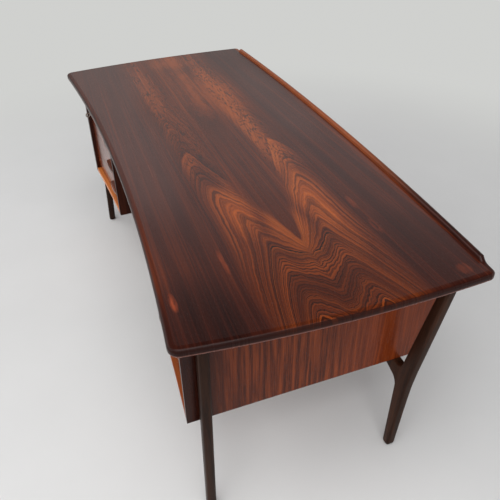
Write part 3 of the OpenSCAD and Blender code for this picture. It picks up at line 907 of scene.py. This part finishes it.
@dataclass(frozen=True)
class Felt(Finish):
    """Pressed felt of the glides."""

    deep: Colour = srgb(38, 33, 30)
    raised: Colour = srgb(84, 76, 70)

    FIBRE_RATE: ClassVar[float] = 900.0
    FIBRE_DEPTH: ClassVar[float] = 0.0003

    def surface(self, bench: Bench) -> dict[str, Feed]:
        """Draws matted fibres.

        Args:
            bench: The node tree.

        Returns:
            The shader's inputs.
        """
        x, y, z = bench.point()
        fibres = bench.noise(bench.join(x, y, z), self.FIBRE_RATE, 4.0, 0.7)
        colour = bench.mix(fibres, self.deep, self.raised)
        return {"Base Color": colour, "Normal": bench.bump(fibres, self.FIBRE_DEPTH, 0.8)}


@dataclass(frozen=True)
class Softening:
    """Modifiers that smooth a CAD piece's shading and ease its sharp arrises.

    ease is the arrises' width in metres, sharp the least angle of an arris, flat the greatest angle
    between two triangles of one plane and merge the distance at which corners count as one.
    """

    ease: float = 0.0008
    sharp: float = math.radians(32)
    flat: float = math.radians(0.6)
    merge: float = 0.00001
    segments: int = 2

    def shading_group(self) -> bpy.types.NodeTree:
        """Builds the geometry nodes that join a mesh's split corners and smooth its shallow edges.

        Returns:
            The node group.
        """
        made = bpy.data.node_groups.get("smooth_shading")
        if made is not None:
            return made
        made = bpy.data.node_groups.new("smooth_shading", "GeometryNodeTree")
        made.interface.new_socket("Geometry", in_out="INPUT", socket_type="NodeSocketGeometry")
        made.interface.new_socket("Geometry", in_out="OUTPUT", socket_type="NodeSocketGeometry")
        bench = Bench(made)
        whole = bench.node("NodeGroupInput")
        joined = bench.node("GeometryNodeMergeByDistance",
                            inputs={"Geometry": whole, "Distance": self.merge})
        plain = bench.node("GeometryNodeRemoveAttribute",
                           inputs={"Geometry": joined, "Name": "custom_normal"})
        soft = bench.node("GeometryNodeSetShadeSmooth", {"domain": "FACE"},
                          {"Geometry": plain, "Shade Smooth": True})
        angle = bench.node("GeometryNodeInputMeshEdgeAngle")
        turn = bench.node("ShaderNodeMath", {"operation": "GREATER_THAN"}, {0: angle, 1: self.sharp})
        crisp = bench.node("GeometryNodeSetShadeSmooth", {"domain": "EDGE"},
                           {"Geometry": soft, "Selection": turn, "Shade Smooth": False})
        bench.node("NodeGroupOutput", inputs={0: crisp})
        return made

    def apply(self, piece: bpy.types.Object, eased: bool) -> None:
        """Adds the modifiers to a piece.

        Args:
            piece: The CAD piece.
            eased: Whether its sharp arrises are eased as well.
        """
        shading = piece.modifiers.new("shading", "NODES")
        shading.node_group = self.shading_group()
        if not eased:
            return
        flats = piece.modifiers.new("flats", "DECIMATE")
        flats.decimate_type = "DISSOLVE"
        flats.angle_limit = self.flat
        easing = piece.modifiers.new("easing", "BEVEL")
        easing.width = self.ease
        easing.segments = self.segments
        easing.limit_method = "ANGLE"
        easing.angle_limit = self.sharp
        easing.harden_normals = True
        easing.use_clamp_overlap = True


@dataclass
class Assembly:
    """A group of CAD pieces that are dressed together."""

    softening: Softening = field(default_factory=Softening)

    def dress(self, node: str, finish: Finish, eased: bool = True) -> None:
        """Gives a CAD piece its finish and smooth shading.

        Args:
            node: The piece's name.
            finish: Its finish.
            eased: Whether its sharp arrises are eased.
        """
        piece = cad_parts[node]
        material = finish.material()
        for place in piece.material_slots:
            place.material = material
        self.softening.apply(piece, eased)
        log.info("%s: %s", node, finish.name)

    def build(self) -> None:
        """Dresses every piece of the assembly."""
        raise NotImplementedError


# Painted shade: the edging's side faces drawn dark below the top's surface
PAINTED_EDGE_SHADE = Tint(Run.HEIGHT, 0.7300, 0.7278, srgb(34, 10, 6), 0.85)
# Painted highlight: a pale pinkish line along the lower part of the edging's side faces
PAINTED_ARRIS_HIGHLIGHT = Tint(Run.HEIGHT, 0.7160, 0.7105, srgb(140, 88, 76), 0.72)
# Painted shadow: the outer sides' front strip, where the front legs stand, drawn nearly black
PAINTED_LEG_SHADOW = Tint(Run.DEPTH, -0.255, -0.315, srgb(34, 9, 5), 0.85)
# Painted shade: the leg wood drawn darker towards the front, on the front legs
PAINTED_FRONT_LEG_SHADE = Tint(Run.DEPTH, -0.20, -0.28, srgb(24, 15, 11), 0.45)
# Painted shade: the outer sides darker towards the front
PAINTED_FRONT_SHADE = Tint(Run.DEPTH, -0.06, -0.29, srgb(62, 24, 16), 0.34)
# Painted light: the outer sides brighter and more orange towards the rear
PAINTED_REAR_LIGHT = Tint(Run.DEPTH, 0.0, 0.25, srgb(150, 64, 26), 0.36)
# A paler front lipping of the bottom boards in two copies: the far pedestal's with painted light, brighter
# and more orange, the near one's with painted shade, duller
LIPPING_WITH_PAINTED_LIGHT = Tint(Run.DEPTH, -0.300, -0.325, srgb(204, 120, 60), 0.85)
LIPPING_WITH_PAINTED_SHADE = Tint(Run.DEPTH, -0.300, -0.325, srgb(150, 78, 38), 0.8)
WARM_LEFT = Tint(Run.LENGTH, 0.66, 0.12, srgb(172, 92, 50), 0.54)


@dataclass
class Top(Assembly):
    """The curved top, its solid edging and the raised lip."""

    veneer: Finish = FiguredTop("flamed_top_veneer", gloss=0.25, shine=0.40)
    # The edging's side faces carry painted shade, with a painted highlight low down
    edge: Finish = FiguredTop("edging_matched_to_top", gloss=0.28, shine=0.12,
                              tints=(PAINTED_EDGE_SHADE, PAINTED_ARRIS_HIGHLIGHT))
    rear_edge: Finish = Rosewood("edging_along_rear", tones=EDGE_TONES, run=Run.LENGTH, gloss=0.28,
                                 band=0.03, streak=0.005, shine=0.2, tints=(WARM_LEFT,))

    def build(self) -> None:
        """Dresses the top's five pieces."""
        self.dress("top_board", self.veneer, eased=False)
        self.dress("front_edging", self.edge, eased=False)
        self.dress("rear_edging", self.rear_edge, eased=False)
        for side in Side:
            self.dress(f"{side.value}_edging", self.edge, eased=False)


@dataclass
class Legs(Assembly):
    """The straight front legs, the forked rear legs, their spacers and glides."""

    # The leg wood carries painted shade on the front legs
    wood: Finish = Rosewood("leg_wood_finish", tones=LEG_TONES, run=Run.HEIGHT, gloss=0.42, band=0.03,
                            streak=0.005, contrast=0.85, shine=0.09, tints=(PAINTED_FRONT_LEG_SHADE,))
    felt: Finish = Felt("glide_felt", gloss=0.9, shine=0.2)

    def build(self) -> None:
        """Dresses the four legs and what is fixed to them."""
        for side in Side:
            self.dress(f"{side.value}_front_leg", self.wood, eased=False)
            self.dress(f"{side.value}_rear_leg", self.wood, eased=False)
        self.dress("leg_spacers", self.wood)
        self.dress("leg_glides", self.felt)


@dataclass
class Case(Assembly):
    """The boards of both pedestals, the bookcase between them and the rails under the top."""

    # The outer sides carry painted light towards the rear and painted shade towards the front and by the
    # front legs
    upright: Finish = Rosewood("case_veneer_upright", run=Run.HEIGHT, gloss=0.25, shine=0.17, band=0.012,
                               streak=0.0030, stretch=34.0, contrast=1.05,
                               tints=(PAINTED_REAR_LIGHT, PAINTED_FRONT_SHADE, PAINTED_LEG_SHADOW))
    # The kneehole sides' veneer carries painted shade in its darker tones
    inner: Finish = Rosewood("case_veneer_inner_painted_shade", tones=SHADED_INNER_TONES, run=Run.HEIGHT, gloss=0.36, shine=0.06)
    level: Finish = Rosewood("case_veneer_level", run=Run.LENGTH, gloss=0.32, shine=0.3, shift=0.37)
    left_bottom: Finish = Rosewood("left_bottom_veneer_painted_light", run=Run.LENGTH, gloss=0.32, shine=0.25,
                                   shift=0.51, tints=(LIPPING_WITH_PAINTED_LIGHT,))
    right_bottom: Finish = Rosewood("right_bottom_veneer_painted_shade", run=Run.LENGTH, gloss=0.32, shine=0.25,
                                    shift=0.73, tints=(LIPPING_WITH_PAINTED_SHADE,))
    rails: Finish = Rosewood("rail_wood", tones=LEG_TONES, run=Run.LENGTH, gloss=0.4)

    def build(self) -> None:
        """Dresses the boards, upright ones with upright grain."""
        for side in Side:
            self.dress(f"{side.value}_outer_side", self.upright)
            self.dress(f"{side.value}_inner_side", self.inner)
            bottom = self.left_bottom if side is Side.LEFT else self.right_bottom
            self.dress(f"{side.value}_bottom_board", bottom)
            for board in ("top_panel", "divider"):
                self.dress(f"{side.value}_{board}", self.level)
        for board in ("bottom_board", "top_panel", "back_panel", "shelf"):
            self.dress(f"middle_{board}", self.level)
        for rail in ("front_rail", "rear_rail"):
            self.dress(rail, self.rails)


@dataclass
class Drawers(Assembly):
    """The six drawers with their pulls, boxes, floors and runners."""

    front: Finish = Rosewood("drawer_front_veneer", run=Run.LENGTH, gloss=0.17, shine=0.7, shift=0.11)
    pull: Finish = Rosewood("pull_wood_finish", tones=PULL_TONES, run=Run.LENGTH, gloss=0.26, band=0.018,
                            streak=0.004)
    box: Finish = LightWood("drawer_box_wood", gloss=0.5, shine=0.3)
    bottom: Finish = LightWood("drawer_floor_wood", gloss=0.5, shine=0.3, run=Run.LENGTH)

    def build(self) -> None:
        """Dresses each drawer and its runners."""
        for side in Side:
            for level in Level:
                drawer = f"{side.value}_{level.value}_drawer"
                self.dress(f"{drawer}_front", self.front)
                self.dress(f"{drawer}_pull", self.pull)
                self.dress(f"{drawer}_box", self.box)
                self.dress(f"{drawer}_floor", self.bottom)
            self.dress(f"{side.value}_drawer_runners", self.box)


@dataclass
class Locks(Assembly):
    """The locks of the top drawers and the key."""

    brass: Finish = Metal("lock_brass", gloss=0.3, metal=1.0)
    steel: Finish = Metal("key_steel", gloss=0.22, metal=1.0, fresh=srgb(196, 192, 184),
                          toned=srgb(150, 142, 130))

    def build(self) -> None:
        """Dresses both locks and the key."""
        for side in Side:
            self.dress(f"{side.value}_lock", self.brass, eased=False)
        self.dress("key", self.steel, eased=False)


@dataclass(frozen=True)
class Lamp:
    """A broad soft lamp: where it hangs, what it faces, its width and height in metres and its
    power in watts."""

    name: str
    place: tuple[float, float, float]
    target: tuple[float, float, float]
    size: tuple[float, float]
    power: float

    def hang(self) -> None:
        """Adds the lamp to the scene."""
        data = bpy.data.lights.new(self.name, "AREA")
        data.shape = "RECTANGLE"
        data.size, data.size_y = self.size
        data.energy = self.power
        made = bpy.data.objects.new(self.name, data)
        aim = (Vector(self.target) - Vector(self.place)).to_track_quat("-Z", "Y")
        made.matrix_world = Matrix.Translation(self.place) @ aim.to_matrix().to_4x4()
        bpy.context.scene.collection.objects.link(made)


@dataclass
class Studio:
    """The pale floor, the soft light and the camera.

    yaw, pitch and roll turn the camera in radians. The floor shows the backdrop's own colour from
    floor_faded metres away. The world's bands of light lie by height: the room's walls up to
    wall_low, its brighter upper part from wall_high and the ceiling from ceiling_from. The light
    grows from left_level by right_gain towards the desk's right.
    """

    RAYS: ClassVar[tuple[str, ...]] = ("Is Camera Ray", "Is Glossy Ray", "Is Transmission Ray")

    lens: float = 42.176
    sensor: float = 36.0
    sight: float = 200.0
    place: tuple[float, float, float] = (1.7391, -0.5492, 1.6129)
    yaw: float = 2.7876
    pitch: float = 0.6361
    roll: float = -0.0151
    floor_half: float = 30.0
    floor_plain: float = 1.4
    floor_faded: float = 3.0
    floor_gloss: float = 0.6
    floor_shine: float = 0.3
    floor_tones: tuple[Colour, Colour] = ((0.67, 0.67, 0.665), (0.73, 0.73, 0.725))
    backdrop: Colour = (0.63, 0.635, 0.62)
    room: Colour = (0.50, 0.50, 0.49)
    room_high: Colour = (0.90, 0.90, 0.92)
    ceiling: Colour = (0.06, 0.06, 0.065)
    ceiling_slope: float = 0.12
    wall_low: float = 0.38
    wall_high: float = 0.52
    ceiling_from: float = 0.72
    left_level: float = 0.90
    right_gain: float = 0.74
    gain_from: float = -0.5
    gain_full: float = 0.7
    lamps: tuple[Lamp, ...] = (
        Lamp("window", (-1.6, -4.6, 2.8), (-0.3, 0.0, 0.5), (8.0, 4.5), 150.0),
        Lamp("skylight", (1.9, -0.9, 4.5), (0.2, 0.0, 0.4), (3.6, 3.6), 152.0),
    )

    def build(self) -> None:
        """Makes the floor, the world, the lamps and the camera."""
        bpy.context.scene.view_settings.view_transform = "Standard"
        self.make_camera()
        self.make_floor()
        self.make_world()
        for lamp in self.lamps:
            lamp.hang()

    def make_camera(self) -> None:
        """Puts the camera where the photograph was taken."""
        level = math.cos(self.pitch)
        ahead = Vector((level * math.cos(self.yaw), level * math.sin(self.yaw), -math.sin(self.pitch)))
        side = Vector((math.sin(self.yaw), -math.cos(self.yaw), 0.0))
        up = side.cross(ahead)
        turned_side = side * math.cos(self.roll) + up * math.sin(self.roll)
        turned_up = up * math.cos(self.roll) - side * math.sin(self.roll)
        data = bpy.data.cameras.new("camera")
        data.lens = self.lens
        data.sensor_width = self.sensor
        data.clip_end = self.sight
        camera = bpy.data.objects.new("camera", data)
        turn = Matrix((turned_side, turned_up, -ahead)).transposed().to_4x4()
        camera.matrix_world = Matrix.Translation(self.place) @ turn
        bpy.context.scene.collection.objects.link(camera)
        bpy.context.scene.camera = camera

    def make_floor(self) -> None:
        """Lays the plain pale floor."""
        half = self.floor_half
        corners = [(-half, -half, 0), (half, -half, 0), (half, half, 0), (-half, half, 0)]
        mesh = bpy.data.meshes.new("floor")
        mesh.from_pydata(corners, [], [(0, 1, 2, 3)])
        floor = bpy.data.objects.new("floor", mesh)
        bpy.context.scene.collection.objects.link(floor)
        material = bpy.data.materials.new("studio_floor")
        material.use_nodes = True
        bench = Bench(material.node_tree)
        x, y, z = bench.point()
        cloud = bench.noise(bench.join(x, y, z), 2.5, 4.0)
        colour = bench.mix(cloud, *self.floor_tones)
        inputs = {
            "Base Color": colour,
            "Roughness": self.floor_gloss,
            "Specular IOR Level": self.floor_shine,
        }
        shader = bench.node("ShaderNodeBsdfPrincipled", inputs=inputs)
        wall = bench.node("ShaderNodeEmission", inputs={"Color": (*self.backdrop, 1.0)})
        away = (x * x + y * y).root()
        shown = self.shown_rays(bench) * away.rise(self.floor_plain, self.floor_faded)
        both = bench.node("ShaderNodeMixShader", inputs={0: shown, 1: shader, 2: wall})
        bench.node("ShaderNodeOutputMaterial", inputs={"Surface": both})
        mesh.materials.append(material)

    def shown_rays(self, bench: Bench) -> Wire:
        """Returns 1 for the rays that show a backdrop: direct, mirrored and passed on by glass."""
        first, *others = [bench.node("ShaderNodeLightPath", out=kind) for kind in self.RAYS]
        return sum(others, first).clamped()

    def make_world(self) -> None:
        """Surrounds the desk with a room: pale walls under a dimmer ceiling."""
        world = bpy.data.worlds.new("studio")
        world.use_nodes = True
        bench = Bench(world.node_tree)
        toward_right, rearward, up = bench.split(bench.node("ShaderNodeTexCoord", out="Generated"))
        height = up + rearward * self.ceiling_slope
        colour = bench.mix(height.rise(self.wall_low, self.wall_high), self.room, self.room_high)
        colour = bench.mix(height.rise(self.wall_high, self.ceiling_from), colour, self.ceiling)
        gain = toward_right.rise(self.gain_from, self.gain_full) * self.right_gain
        strength = gain + self.left_level
        backdrop = bench.node("ShaderNodeBackground", inputs={"Color": colour, "Strength": strength})
        bench.node("ShaderNodeOutputWorld", inputs={"Surface": backdrop})
        bpy.context.scene.world = world


def main() -> None:
    """Builds the studio and dresses every sub-assembly."""
    logging.basicConfig(level=logging.INFO, format="%(name)s %(message)s")
    Studio().build()
    for assembly in (Top(), Legs(), Case(), Drawers(), Locks()):
        assembly.build()
    bpy.context.view_layer.update()


if __name__ == "__main__":
    main()
